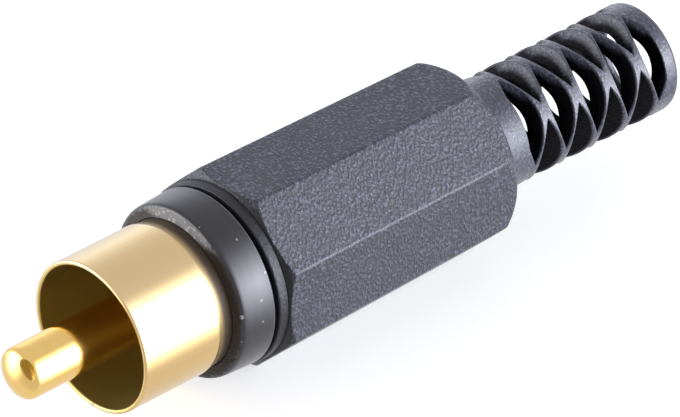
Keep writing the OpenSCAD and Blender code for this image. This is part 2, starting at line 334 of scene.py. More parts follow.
def make_piece(name, surfaces, material, body, node, wear_and_shade=None):
    """Welds surfaces, each a grid of points and its quads, into one piece that stands for a node. wear is a
    value for every point, kept as an attribute that the material reads."""
    points, faces, count = [], [], 0
    for grid, quads in surfaces:
        points.append(grid.reshape(-1, 3))
        faces.append(quads.reshape(-1, 4) + count)
        count += len(points[-1])
    mesh = bpy.data.meshes.new(name)
    mesh.from_pydata(np.concatenate(points).tolist(), [], np.concatenate(faces).tolist())
    if wear_and_shade is not None:
        mesh.attributes.new("wear_and_shade", "FLOAT", "POINT").data.foreach_set("value", wear_and_shade.ravel())
    shell = bmesh.new()
    shell.from_mesh(mesh)
    bmesh.ops.remove_doubles(shell, verts=shell.verts, dist=WELD)
    bmesh.ops.dissolve_degenerate(shell, dist=WELD, edges=shell.edges)
    shell.to_mesh(mesh)
    shell.free()
    mesh.polygons.foreach_set("use_smooth", np.ones(len(mesh.polygons), dtype=bool))
    mesh.set_sharp_from_angle(angle=SHARP_ANGLE)
    mesh.materials.append(material)
    piece = bpy.data.objects.new(name, mesh)
    bpy.context.scene.collection.objects.link(piece)
    smooth = piece.modifiers.new("Even shading", "WEIGHTED_NORMAL")
    smooth.keep_sharp = True
    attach(piece, body)
    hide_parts(node)


def turned_piece(name, path, material, node, closed=True, wear_and_shade=None):
    """Piece on the plug's body, from a profile carried round the axis."""
    grid = carried_round(path, even_angles(ROUND_COLUMNS))
    surface = (grid, grid_quads(len(path), ROUND_COLUMNS, closed))
    make_piece(name, [surface], material, "plug", node, wear_and_shade)


def thread_wave(stations, angles, pitch, start, end):
    """Screw thread as a share of its height: the triangle wave of station / pitch - angle / turn, flattened
    at crest and root, and faded out over half a pitch at both ends."""
    phase = (stations[:, None] / pitch - angles / (2 * math.pi)) % 1
    wave = np.clip(1.5 - 4 * np.abs(phase - 0.5), 0, 1)
    fade = np.clip(np.minimum(stations - start, end - stations) / (pitch / 2), 0, 1)
    return wave * fade[:, None]


def crumbs(angles, across):
    """Uneven moulded skin, mostly from -1 to 1: twice the mean of waves round the axis whose counts have no
    common factor. Each wave is a count, a slant across the face and a shift."""
    waves = ((19, 1.3, 0.0), (31, -2.1, 1.1), (53, 3.7, 2.3), (71, -1.9, 4.1), (97, 2.9, 5.2))
    total = sum(np.sin(count * angles + slant * across + shift) for count, slant, shift in waves)
    return total / len(waves) * 2


def pin_path(pin, angles):
    """Profile of the pin from the middle of its nose to the bottom of its bore, and a mask of the nick.

    The nose is a spherical cap that meets the shaft in a parabola. The solder cup ends earlier on its upper
    side. The nick is a dent of depth d (1 - s^2 - c^2), square to the nose, where s and c are the shares of
    its half length and half width at which a point lies from its middle."""
    tip, rear = PIN_LOW.x, PIN_HIGH.x
    ball = (pin.radius ** 2 + pin.nose_length ** 2) / (2 * pin.nose_length)
    swing = math.asin(pin.radius / ball)
    crease = tip + pin.nose_length
    dome = np.linspace(0, swing - pin.crease_round / ball, DOME_ROWS)
    t = np.linspace(0, 1, CREASE_ROWS)[1:]
    bend = pin.crease_round * (1 - t) ** 2
    seat, hub_rear = DISC_LOW.x, DISC_HIGH.x
    upper = np.clip(np.sin(angles) * CUP_STEEPNESS + 0.5, 0, 1)
    mouth = rear - pin.cup_cut * upper
    points = [(tip + ball * (1 - math.cos(s)), ball * math.sin(s), None) for s in dome]
    nose_x = crease - bend * math.sin(swing) + pin.crease_round * t ** 2
    points += [(x, r, None) for x, r in zip(nose_x, pin.radius - bend * math.cos(swing))]
    points += [
        (seat, pin.radius, pin.edge), (seat, pin.seat_radius, None), (hub_rear, pin.seat_radius, None),
        (hub_rear, PIN_HIGH.z, pin.edge), (hub_rear + pin.shoulder_length, PIN_HIGH.z, pin.edge),
        (hub_rear + pin.shoulder_length, pin.seat_radius, None), (mouth, pin.seat_radius, pin.edge),
        (mouth, pin.bore_radius, pin.edge), (rear - pin.bore_depth, pin.bore_radius, None),
        (rear - pin.bore_depth, 0.0, None),
    ]
    path = rounded_path(*profile(points, len(angles)))
    place = swing - pin.nick_length / 2 / ball
    middle = np.array((tip + ball * (1 - math.cos(place)), ball * math.sin(place)))
    along = np.linalg.norm(path - middle, axis=-1) / (pin.nick_length / 2)
    off = (angles - pin.nick_angle + math.pi) % (2 * math.pi) - math.pi
    aside = middle[1] * off / (pin.nick_width / 2)
    dent = np.clip(1 - along ** 2 - aside ** 2, 0, 1)
    path += pin.nick_depth * dent[..., None] * np.array((math.cos(place), -math.sin(place)))
    return path, np.clip(dent * NICK_STEEPNESS, 0, 1)


def collar_path(collar, sleeve, angles):
    """Profile of the collar: uneven front face, band, web, and a spigot whose radius follows the thread."""
    front, rear = COLLAR_LOW.x, COLLAR_HIGH.x
    band_rear = front + collar.band_length
    seat = sleeve.radius - sleeve.root_neck + collar.clearance
    web = front + sleeve.seat
    web_bore = sleeve.neck_radius + collar.clearance
    bore = collar.spigot_radius - collar.spigot_wall
    inner = seat + collar.recess
    share = np.linspace(0, UNEVEN_SHARE, FACE_ROWS)[1:]
    skin = [collar.face_depth * s + collar.crumb * (1 + crumbs(angles, i)) / 2 for i, s in enumerate(share)]
    face = [(front + x, inner + (collar.front_radius - inner) * s, None) for x, s in zip(skin, share)]
    pitch = collar.thread_pitch
    stations = np.arange(band_rear + pitch / 2, rear, pitch / SPIGOT_THREAD_ROWS)
    wave = thread_wave(stations, angles, pitch, stations[0], stations[-1])
    spigot = [(x, collar.spigot_radius + collar.thread_height * w, None) for x, w in zip(stations, wave)]
    points = face + [
        (front + collar.face_depth, collar.front_radius, collar.edge),
        (band_rear, collar.rear_radius, collar.rear_edge),
        (band_rear, collar.spigot_radius, None), *spigot, (rear, collar.spigot_radius, None),
        (rear, bore, None), (web + collar.web, bore, None), (web + collar.web, web_bore, None),
        (web, web_bore, None), (web, seat, None), (front + collar.recess, seat, None), (front, inner, None),
    ]
    return rounded_path(*profile(points, len(angles)))


def flatted(flat, angles, sides, edge):
    """Radius of a regular polygon with rounded corners: flat / cos of the angle from a flat's middle, and
    near a corner the far side of a circle of radius edge that touches both flats."""
    half = math.pi / sides
    off = np.abs((angles + half) % (2 * half) - half)
    centre = (flat - edge) / math.cos(half)
    across = centre * np.sin(half - off)
    arc = centre * np.cos(half - off) + np.sqrt(np.maximum(edge ** 2 - across ** 2, 0))
    on_flat = flat * np.tan(off) <= (flat - edge) * math.tan(half)
    return np.where(on_flat, flat / np.cos(off), arc)


def cap_angles(cap):
    """Angles round the cap: evenly spaced, with a cluster across each rounded corner."""
    even = even_angles(CAP_COLUMNS)
    half = math.pi / cap.sides
    spread = half - math.atan((cap.front_flat - cap.edge) / cap.front_flat * math.tan(half))
    corners = half + 2 * half * np.arange(cap.sides)
    across = np.linspace(-CORNER_REACH, CORNER_REACH, CORNER_COLUMNS)
    near = (corners[:, None] + spread * across).ravel()
    off = np.abs((even[:, None] - corners + math.pi) % (2 * math.pi) - math.pi).min(axis=1)
    return np.sort(np.concatenate([even[off > CORNER_CLEAR * spread], near]))


def end_cut(flat, far_flat, cut, angles, cap):
    """Corner cut at one end of the body, as a depth from the end face and a radius for every angle.

    A ball centred on the axis cuts the corners. The flat r = r0 + k u meets the ball (u - b)^2 + r^2 = R^2
    where (1 + k^2) u^2 + 2 (k r0 - b) u + b^2 + r0^2 - R^2 = 0. The radius of the end face comes first, and
    a point of the ball halfway down the cut is given too."""
    corner = flat / math.cos(math.pi / cap.sides)
    depth = (corner ** 2 - flat ** 2 + cut ** 2) / (2 * cut)
    start = flat - cap.end_edge
    ball = math.hypot(depth, start)
    near, far = (flatted(size, angles, cap.sides, cap.edge) for size in (flat, far_flat))
    slope = (far - near) / cap.body_length
    a, b, c = 1 + slope ** 2, 2 * (slope * near - depth), depth ** 2 + near ** 2 - ball ** 2
    u = (-b - np.sqrt(b ** 2 - 4 * a * c)) / (2 * a)
    middle = np.sqrt(ball ** 2 - (u / 2 - depth) ** 2)
    return start, u, middle, near + slope * u


def relief_slots(relief, start, end, angles):
    """Staggered slots of the relief from front to rear, each with its half width at the surface, halfway
    down, at its bottom and at the bore, for every angle.

    A slot's flanks are planes, so at radius r and angle d from its middle it is
    k (r cos d - root - tilt r sin d) wide to each side, and nothing where that is negative. Where it ends
    above the bore, its bottom is at root / (cos d - tilt sin d)."""
    pitch = (end - start - 2 * relief.end_gap) / (relief.row_slots - 1)
    column = 2 * math.pi / relief.around
    root = relief.bore_radius - relief.root
    half_span = relief.span / 2
    tilt = (relief.radius * math.cos(half_span) - root) / (relief.radius * math.sin(half_span))
    slots = []
    for step in range(2 * relief.row_slots - 1):
        stepped = step % 2
        middle = relief.turn + stepped * column / 2
        off = np.abs((angles - middle + column / 2) % column - column / 2)
        lean = np.cos(off) - tilt * np.sin(off)
        bridge = relief.step_bridge if stepped else relief.row_bridge
        opening = (pitch - bridge) / 2 / (relief.radius - root)
        bottom = np.clip(root / np.maximum(lean, 1e-3), relief.bore_radius, relief.radius)
        wide, mid, low, bore = (
            np.maximum(opening * (r * lean - root), 0)
            for r in (relief.radius, (relief.radius + bottom) / 2, bottom, relief.bore_radius)
        )
        slots.append({"x": start + relief.end_gap + step * pitch / 2, "bottom": bottom,
                      "wide": wide, "mid": mid, "low": np.where(low < WELD, 0, low), "bore": bore})
    return slots


def slot_wall(slot, side, relief, limit):
    """Rows of (station, radius, round) down one wall of a slot, from the surface to the bore. side is -1 for
    the wall in front of the slot and 1 for the one behind it, and no row passes limit."""
    bound = np.maximum if side < 0 else np.minimum
    radii = (relief.radius, (relief.radius + slot["bottom"]) / 2, slot["bottom"], relief.bore_radius)
    rounds = (np.minimum(relief.rib_round, slot["wide"] / 2), None, None, None)
    rows = zip(("wide", "mid", "low", "bore"), radii, rounds)
    return [(bound(slot["x"] + side * slot[key], limit), r, reach) for key, r, reach in rows]


def closed_ring(points, shut_walls, angles, steps=4):
    """One closed ring of the cap as a grid of points and its quads.

    shut_walls pairs the corner at which a wall's stretch below the slot's bottom starts with its slot: that
    stretch is left out where the slot has no width, because the solid goes on there."""
    columns = len(angles)
    path = rounded_path(*profile(points, columns), steps=steps)
    quads = grid_quads(len(path), columns)
    keep = np.ones(quads.shape[:2], dtype=bool)
    rows = np.cumsum([0] + [1 if reach is None else steps for _, _, reach in points])
    for corner, slot in shut_walls:
        shut = slot["bore"] <= 0
        keep[rows[corner]] = ~(shut & np.roll(shut, -1))
    return carried_round(path, angles), quads[keep]


def cap_surfaces(cap, relief, pitch):
    """Surfaces of the cap: the body with the relief's neck, one closed ring for every rib between two slots,
    and the end ring. Neighbours share their edges wherever the slot between them has no width. The second
    result marks the points on the front corner cuts of the near side, as 0.5 + 2 cos(angle) from 0 to 1."""
    angles = cap_angles(cap)
    front, rear = CAP_LOW.x, CAP_HIGH.x
    body = front + cap.ring_length
    body_rear = body + cap.body_length
    floor = body_rear - cap.floor
    first, last = body_rear + relief.plain_neck, rear - relief.end_ring
    slots = relief_slots(relief, first, last, angles)
    fronts = [slot_wall(slot, -1, relief, first) for slot in slots]
    backs = [slot_wall(slot, 1, relief, last) for slot in slots]
    start, cut, middle, radius = end_cut(cap.front_flat, cap.rear_flat, cap.front_cut, angles, cap)
    rear_end = end_cut(cap.rear_flat, cap.front_flat, cap.rear_cut, angles, cap)
    rear_start, rear_cut, rear_middle, rear_radius = rear_end
    stations = np.arange(front + cap.ring_length, front + cap.thread_length, pitch / BORE_THREAD_ROWS)[::-1]
    wave = thread_wave(stations, angles, pitch, stations[-1], stations[0])
    outside = [
        (front, cap.bore_radius, cap.end_edge), (front, cap.ring_radius, cap.end_edge),
        (body, cap.ring_radius, None), (body, start, cap.end_edge / 2), (body + cut / 2, middle, None),
        (body + cut, radius, cap.end_edge), (body_rear - rear_cut, rear_radius, cap.edge),
        (body_rear - rear_cut / 2, rear_middle, None), (body_rear, rear_start, cap.end_edge),
        (body_rear, relief.radius, relief.foot),
    ]
    inside = [(floor, relief.bore_radius, None), (floor, cap.bore_radius, cap.end_edge)]
    inside += [(x, cap.bore_radius - cap.thread_height * w, None) for x, w in zip(stations, wave)]
    rings = [closed_ring(outside + fronts[0] + inside, [(len(outside) + 2, slots[0])], angles)]
    for i in range(1, len(slots)):
        points = [backs[i - 1][0], *fronts[i], *backs[i - 1][:0:-1]]
        rings.append(closed_ring(points, [(3, slots[i]), (5, slots[i - 1])], angles))
    end = [(rear, relief.radius, cap.edge), (rear, relief.bore_radius, cap.end_edge)]
    rings.append(closed_ring([backs[-1][0], *end, *backs[-1][:0:-1]], [(3, slots[-1])], angles))
    grid = rings[0][0]
    reach = np.hypot(grid[..., 1], grid[..., 2])
    stretch = (grid[..., 0] - body) / cut
    # Painted shade: the front corner cuts are marked dark on the near side, fading out towards the upper
    # left
    near = np.clip(0.5 + 2 * np.cos(angles), 0, 1)
    on_cut = (stretch > -0.01) & (stretch < CUT_SHARE) & (reach > start - cap.end_edge)
    worn = [np.where(on_cut, near, 0.0)] + [np.zeros(grid.shape[:2]) for grid, _ in rings[1:]]
    return rings, np.concatenate([share.ravel() for share in worn])


class Nodes:
    """Makes and links the nodes of a tree. A value is a socket or a number, a tone a socket or a colour."""

    def __init__(self, tree):
        self.tree = tree

    def feed(self, value, socket):
        """Links a socket to an input, or sets the input to a plain value."""
        if isinstance(value, NodeSocket):
            self.tree.links.new(value, socket)
        else:
            socket.default_value = value

    def add(self, kind, **settings):
        """Node of a kind. Settings that the node has are attributes, and others feed its inputs by name."""
        node = self.tree.nodes.new(kind)
        for key, value in settings.items():
            if hasattr(node, key):
                setattr(node, key, value)
            else:
                self.feed(value, node.inputs[key.replace("_", " ")])
        return node

    def math(self, operation, first, *others):
        """Math nodes that join values in turn."""
        for other in others:
            node = self.add("ShaderNodeMath", operation=operation)
            self.feed(first, node.inputs[0])
            self.feed(other, node.inputs[1])
            first = node.outputs[0]
        return first

    def times(self, *values):
        """Product of values."""
        return self.math("MULTIPLY", *values)

    def most(self, *values):
        """Largest of values."""
        return self.math("MAXIMUM", *values)

    def rest(self, value):
        """What a value leaves of one."""
        return self.math("SUBTRACT", 1.0, value)

    def ramp(self, value, low, high, to_low=0.0, to_high=1.0):
        """Smooth step of a value between low and high."""
        node = self.add("ShaderNodeMapRange", interpolation_type="SMOOTHSTEP", Value=value, From_Min=low,
                        From_Max=high, To_Min=to_low, To_Max=to_high)
        return node.outputs["Result"]

    def mix(self, factor, first, second):
        """Mix of two tones."""
        node = self.add("ShaderNodeMix", data_type="RGBA")
        self.feed(factor, node.inputs["Factor"])
        for socket, tone in ((node.inputs[6], first), (node.inputs[7], second)):
            self.feed(tone if isinstance(tone, NodeSocket) else (*tone, 1.0), socket)
        return node.outputs[2]

    def layered(self, tone, *layers):
        """Tone with layers over it, each a mask and a tone."""
        for mask, layer in layers:
            tone = self.mix(mask, tone, layer)
        return tone

    def split(self, vector):
        """The X, Y and Z of a vector."""
        return self.add("ShaderNodeSeparateXYZ", Vector=vector).outputs

    def effect(self, name, vector, **values):
        """Places a shared effect, with its own values."""
        if name not in MADE:
            MADE[name] = GROUPS[name]()
        return self.add("ShaderNodeGroup", node_tree=MADE[name], Vector=vector, **values).outputs


class Finish(Nodes):
    """Nodes of a material, with its Principled shader and the object's own coordinates."""

    def __init__(self, name, **values):
        self.material = bpy.data.materials.new(name)
        self.material.use_nodes = True
        super().__init__(self.material.node_tree)
        self.shader = self.tree.nodes["Principled BSDF"]
        self.place = self.add("ShaderNodeTexCoord").outputs["Object"]
        self.dress(**values)

    def dress(self, **values):
        """Feeds the shader's inputs by name."""
        for key, value in values.items():
            self.feed(value, self.shader.inputs[key.replace("_", " ")])

    def bump(self, height, distance, strength=1.0):
        """Bump of a height, which is that many metres at a height of one."""
        node = self.add("ShaderNodeBump", Strength=strength, Distance=distance, Height=height)
        self.dress(Normal=node.outputs["Normal"])

    def wear_and_shade(self):
        """The wear that the mesh keeps for every point."""
        return self.add("ShaderNodeAttribute", attribute_name="wear_and_shade").outputs["Fac"]

    def from_axis(self):
        """Station along the X axis, height above it and distance from it."""
        parts = self.split(self.place)
        squares = [self.times(parts[axis], parts[axis]) for axis in "YZ"]
        return parts["X"], parts["Z"], self.math("SQRT", self.math("ADD", *squares), 0.0)


def effect_group(name, inputs, outputs):
    """Empty shader node group with float inputs besides Vector, and float outputs."""
    tree = bpy.data.node_groups.new(name, "ShaderNodeTree")
    tree.interface.new_socket("Vector", in_out="INPUT", socket_type="NodeSocketVector")
    for key, default in inputs.items():
        socket = tree.interface.new_socket(key, in_out="INPUT", socket_type="NodeSocketFloat")
        socket.default_value = default
    for key in outputs:
        tree.interface.new_socket(key, in_out="OUTPUT", socket_type="NodeSocketFloat")
    nodes = Nodes(tree)
    return nodes, nodes.add("NodeGroupInput").outputs, nodes.add("NodeGroupOutput").inputs


def grain_group():
    """Spark-eroded grain: noise less 0.45 of rounded cells as a height, its peaks, and a slow mottle."""
    nodes, given, out = effect_group("Spark eroded grain", {"Scale": 5000.0}, ("Height", "Peaks", "Mottle"))
    coarse = nodes.add("ShaderNodeTexNoise", Detail=1.5, Roughness=0.5)
    grains = nodes.add("ShaderNodeTexVoronoi", feature="SMOOTH_F1", Smoothness=0.6)
    mottle = nodes.add("ShaderNodeTexNoise", Detail=3.0, Roughness=0.6)
    for node, share in ((coarse, 1.0), (grains, 0.8), (mottle, 0.06)):
        nodes.feed(given["Vector"], node.inputs["Vector"])
        nodes.feed(nodes.times(given["Scale"], share), node.inputs["Scale"])
    height = nodes.math("ADD", coarse.outputs["Fac"], nodes.times(grains.outputs["Distance"], -0.45))
    nodes.feed(height, out["Height"])
    nodes.feed(nodes.ramp(height, 0.28, 0.52), out["Peaks"])
    nodes.feed(mottle.outputs["Fac"], out["Mottle"])
    return nodes.tree


def streak_group():
    """Rubbed streaks round the axis: noise that changes fast along X and slowly across it."""
    stretches = {"Along": 9000.0, "Across": 350.0}
    nodes, given, out = effect_group("Rubbed streaks", stretches, ("Streak", "Smear"))
    parts = nodes.split(given["Vector"])
    for key, share in (("Streak", 1.0), ("Smear", 0.16)):
        place = nodes.add("ShaderNodeCombineXYZ")
        for axis, stretch in (("X", "Along"), ("Y", "Across"), ("Z", "Across")):
            nodes.feed(nodes.times(parts[axis], given[stretch], share), place.inputs[axis])
        noise = nodes.add("ShaderNodeTexNoise", Scale=1.0, Detail=3.0, Roughness=0.55)
        nodes.feed(place.outputs[0], noise.inputs["Vector"])
        nodes.feed(noise.outputs["Fac"], out[key])
    return nodes.tree


def speck_group():
    """Dust specks: small dots in a few of the cells of a Voronoi pattern."""
    nodes, given, out = effect_group("Dust specks", {"Scale": 900.0, "Amount": 0.1, "Size": 0.12}, ("Mask",))
    cells = nodes.add("ShaderNodeTexVoronoi", Vector=given["Vector"], Scale=given["Scale"]).outputs
    chance = nodes.add("ShaderNodeSeparateColor", Color=cells["Color"]).outputs
    chosen = nodes.math("LESS_THAN", chance[0], given["Amount"])
    dot = nodes.math("LESS_THAN", cells["Distance"], nodes.times(given["Size"], chance[1]))
    nodes.feed(nodes.times(chosen, dot), out["Mask"])
    return nodes.tree


GROUPS = {"grain": grain_group, "streak": streak_group, "speck": speck_group}
MADE = {}


def gold_finish(colours, sleeve, pin):
    """Bright gold plating with faint turning lines and dust: hazy on the sleeve's outside, tarnished at its
    root, thin and dull on its inside, and worn through in the pin's nick."""
    finish = Finish("gold_plating", Coat_Roughness=0.36, Coat_IOR=2.0)
    streaks = finish.effect("streak", finish.place, Along=14000.0, Across=300.0)
    specks = finish.effect("speck", finish.place, Scale=1300.0, Amount=0.03, Size=0.14)["Mask"]
    station, height, reach = finish.from_axis()
    haze = finish.ramp(height, -0.5 * sleeve.radius, 0.9 * sleeve.radius, 0.1, 1.0)
    outside = finish.ramp(reach, sleeve.radius - 0.6 * sleeve.wall, sleeve.radius - 0.5 * sleeve.wall)
    # Painted shade: by the collar the sleeve is painted dull dark brown, for the collar's shade and
    # reflection
    root = COLLAR_LOW.x - sleeve.root_length
    painted_shade = finish.times(finish.ramp(station, root, root + 0.65 * sleeve.root_length), outside)
    bore = finish.ramp(reach, sleeve.radius - 0.6 * sleeve.wall, sleeve.radius - 0.9 * sleeve.wall)
    inside = finish.times(bore, finish.ramp(reach, 1.1 * pin.radius, 1.2 * pin.radius))
    scraped = finish.times(finish.wear_and_shade(), finish.ramp(streaks["Streak"], 0.36, 0.5, 0.7, 1.0))
    pale = [min(1.0, c * 1.05) for c in colours.gold]
    tone = finish.layered(
        colours.gold, (finish.ramp(streaks["Smear"], 0.35, 0.7), pale), (outside, colours.sleeve),
        (inside, colours.inside), (specks, colours.gold_dust), (painted_shade, colours.painted_shade),
        (scraped, colours.nick),
    )
    polish = finish.ramp(streaks["Smear"], 0.3, 0.75, 0.1, 0.13)
    dull = finish.most(finish.times(finish.most(scraped, painted_shade), 0.35), finish.times(inside, 0.22))
    gloss = finish.math("ADD", polish, finish.times(outside, 0.05), dull)
    bare = finish.most(finish.times(inside, 0.12), specks, finish.times(scraped, 0.2),
                       finish.times(painted_shade, 0.7))
    clean = finish.math("SUBTRACT", outside, painted_shade)
    finish.dress(Base_Color=tone, Roughness=gloss, Metallic=finish.rest(bare),
                 Coat_Weight=finish.times(clean, haze))
    finish.bump(streaks["Streak"], 0.0004 * MM, 0.4)
    return finish.material


def insulator_finish(colours):
    """Brown moulded insulating plastic with a fine grain."""
    finish = Finish("insulating_plastic", Roughness=0.5)
    grain = finish.effect("grain", finish.place, Scale=7000.0)
    light = [c * 1.5 for c in colours.insulator]
    finish.dress(Base_Color=finish.mix(grain["Mottle"], colours.insulator, light))
    finish.bump(grain["Height"], 0.012 * MM)
    return finish.material


def collar_finish(colours, collar):
    """Satin black plastic, rubbed in streaks round the axis, with dust specks. Its front face is scuffed to
    a crumbly grey higher up and grimy lower down."""
    finish = Finish("satin_black_plastic", IOR=1.5, Coat_Roughness=0.3)
    streaks = finish.effect("streak", finish.place, Along=6000.0, Across=420.0)
    grain = finish.effect("grain", finish.place, Scale=5200.0)
    specks = finish.effect("speck", finish.place, Scale=1400.0, Amount=0.4, Size=0.2)["Mask"]
    station, height, _ = finish.from_axis()
    front, rear = COLLAR_LOW.x, COLLAR_LOW.x + collar.band_length
    face = finish.ramp(station, front + collar.face_depth, front + 0.7 * collar.face_depth)
    # Painted highlight: a pale line along the band's rear edge, broken up by streaks, for the light its
    # round catches
    edge = finish.ramp(station, rear - 1.4 * collar.rear_edge, rear - 0.7 * collar.rear_edge)
    behind = finish.ramp(station, rear + 0.1 * MM, rear + 0.05 * MM)
    edge = finish.times(edge, behind, streaks["Smear"])
    # Painted light and shade: the face is pale higher up, where the light falls, and dark brown lower down,
    # in shade
    upper = finish.ramp(height, 0.74 * collar.front_radius, 0.86 * collar.front_radius)
    scuffed_and_lit = finish.mix(grain["Peaks"], colours.collar_face, colours.collar_crumb)
    tone = finish.layered(
        colours.collar, (finish.ramp(streaks["Streak"], 0.45, 0.8), colours.collar_rubbed),
        (edge, colours.collar_edge_highlight), (specks, colours.collar_dust),
        (face, finish.mix(upper, colours.collar_face_shade, scuffed_and_lit)),
    )
    gloss = finish.math("ADD", finish.ramp(streaks["Smear"], 0.3, 0.7, 0.29, 0.38), finish.times(face, 0.3))
    finish.dress(Base_Color=tone, Roughness=gloss, Coat_Weight=finish.ramp(face, 0.0, 1.0, 0.4, 0.0))
    streaked = finish.times(streaks["Streak"], 0.03)
    finish.bump(finish.math("ADD", streaked, finish.times(grain["Height"], face)), 0.05 * MM)
    return finish.material


def cap_finish(colours, cap, relief):
    """Charcoal plastic with a spark-eroded grain whose peaks are a little paler and glossier. The front ring
    is darker and the relief paler and glossier. The relief's slots are dark inside, and on its upper side
    only deeper down."""
    finish = Finish("grained_charcoal_plastic", Coat_Roughness=0.22)
    stretched = finish.add("ShaderNodeMapping", Scale=(1.2, 0.8, 0.8), Vector=finish.place)
    grain = finish.effect("grain", stretched.outputs[0], Scale=6200.0)
    specks = finish.effect("speck", finish.place, Scale=420.0, Amount=0.06, Size=0.1)["Mask"]
    # Painted shade on the near side's front corner cuts, as the mesh marks them
    cut = finish.wear_and_shade()
    station, height, reach = finish.from_axis()
    body = CAP_LOW.x + cap.ring_length
    ring = finish.ramp(station, body + 0.05 * MM, body)
    slim = finish.ramp(reach, relief.radius + 2 * relief.foot, relief.radius + relief.foot)
    # Painted shade: slot walls are painted near black below the surface, and on the upper side, where more
    # light falls in, only deeper down
    lower = finish.ramp(height, 0.92 * relief.radius, 0.7 * relief.radius)
    below = finish.ramp(reach, relief.radius - 0.1 * MM, relief.radius - 0.6 * MM)
    inner = finish.ramp(reach, relief.radius - 0.02 * MM, relief.radius - 0.15 * MM)
    ahead = finish.ramp(station, CAP_HIGH.x - 0.2 * MM, CAP_HIGH.x - 0.4 * MM)
    deep = finish.times(finish.math("MINIMUM", inner, finish.most(below, lower)), ahead)
    # The grain's pale, bluish peaks are partly painted glints
    dark = [c * 0.8 for c in colours.cap]
    tone = finish.layered(
        dark, (grain["Mottle"], colours.cap), (grain["Peaks"], colours.cap_peak),
        (finish.times(slim, 0.15), colours.cap_peak), (specks, colours.cap_dust), (ring, colours.cap_ring),
        (cut, colours.slot), (deep, colours.slot),
    )
    gloss = finish.ramp(grain["Peaks"], 0.0, 1.0, 0.44, 0.32)
    bare = finish.most(ring, cut, deep)
    skin = finish.times(finish.ramp(slim, 0.0, 1.0, 0.42, 0.7), finish.rest(bare))
    # The painted shade in the slots is also made metallic, so that it takes no diffuse light
    finish.dress(Base_Color=tone, Roughness=gloss, Metallic=finish.times(deep, 0.9), Coat_Weight=skin)
    smooth = finish.most(finish.times(slim, 0.5), bare)
    rise = finish.ramp(smooth, 0.0, 1.0, 1.0, 0.2)
    finish.bump(finish.times(grain["Height"], rise), 0.13 * MM)
    return finish.material


def tab_finish(colours):
    """Stamped plated brass, with faint rolling lines and a soft tarnish."""
    finish = Finish("stamped_brass", Metallic=1.0)
    streaks = finish.effect("streak", finish.place, Along=600.0, Across=9000.0)
    dull = [c * 0.72 for c in colours.tab]
    finish.dress(Base_Color=finish.mix(streaks["Smear"], colours.tab, dull),
                 Roughness=finish.ramp(streaks["Streak"], 0.3, 0.7, 0.24, 0.4))
    finish.bump(streaks["Streak"], 0.002 * MM)
    return finish.material


def floor_finish(colours, stage):
    """Pale floor that keeps a soft shadow: part of its white doesn't depend on the light that reaches it."""
    finish = Finish("pale_floor", Roughness=0.6, Base_Color=(*colours.floor, 1.0))
    camera = finish.add("ShaderNodeLightPath").outputs["Is Camera Ray"]
    glow = finish.add("ShaderNodeEmission", Strength=finish.times(camera, stage.floor_glow))
    both = finish.add("ShaderNodeAddShader")
    for shader, socket in zip((finish.shader, glow), both.inputs):
        finish.feed(shader.outputs[0], socket)
    finish.feed(both.outputs[0], finish.tree.nodes["Material Output"].inputs["Surface"])
    return finish.material


def shared_gold(scene):
    """The gold plating, made once."""
    made = bpy.data.materials.get("gold_plating")
    return made or gold_finish(scene.plug_colours, scene.plug_sleeve, scene.plug_pin)


class PLUG_OT_pin(Operator):
    """Build the gold centre pin."""
    bl_idname = "plug.pin"
    bl_label = "Centre pin"

    def execute(self, context):
        scene = context.scene
        path, worn = pin_path(scene.plug_pin, even_angles(ROUND_COLUMNS))
        turned_piece("gold_pin", path, shared_gold(scene), "centre_pin", False, worn)
        return {"FINISHED"}


class PLUG_OT_sleeve(Operator):
    """Build the drawn contact sleeve."""
    bl_idname = "plug.sleeve"
    bl_label = "Contact sleeve"

    def execute(self, context):
        scene = context.scene
        sleeve = scene.plug_sleeve
        bore = sleeve.radius - sleeve.wall
        web = COLLAR_LOW.x + sleeve.seat
        lip_rear = SLEEVE_HIGH.x
        lip = lip_rear - sleeve.wall
        neck_bore = sleeve.neck_radius - sleeve.wall
        # The root narrows along 1 - (1 - t)^4 (1 + 4 t), which starts and ends level
        t = np.linspace(0, 1, ROOT_ROWS)
        root = COLLAR_LOW.x - sleeve.root_length * (1 - t)
        drop = sleeve.root_neck * (1 - (1 - t) ** 4 * (1 + 4 * t))
        points = [
            (SLEEVE_LOW.x, sleeve.radius, sleeve.rim_round),
            *((x, r, None) for x, r in zip(root, sleeve.radius - drop)),
            (web, sleeve.radius - sleeve.root_neck, sleeve.wall),
            (web, sleeve.neck_radius, None), (lip, sleeve.neck_radius, None),
            (lip, sleeve.lip_radius, sleeve.wall / 3), (lip_rear, sleeve.lip_radius, sleeve.wall / 3),
            (lip_rear, neck_bore, sleeve.wall / 3), (web - sleeve.wall, neck_bore, None),
            (web - sleeve.wall, bore, sleeve.wall / 3), (SLEEVE_LOW.x, bore, sleeve.rim_round),
        ]
        path = rounded_path(*profile(points, ROUND_COLUMNS))
        turned_piece("gold_sleeve", path, shared_gold(scene), "contact_sleeve")
        return {"FINISHED"}


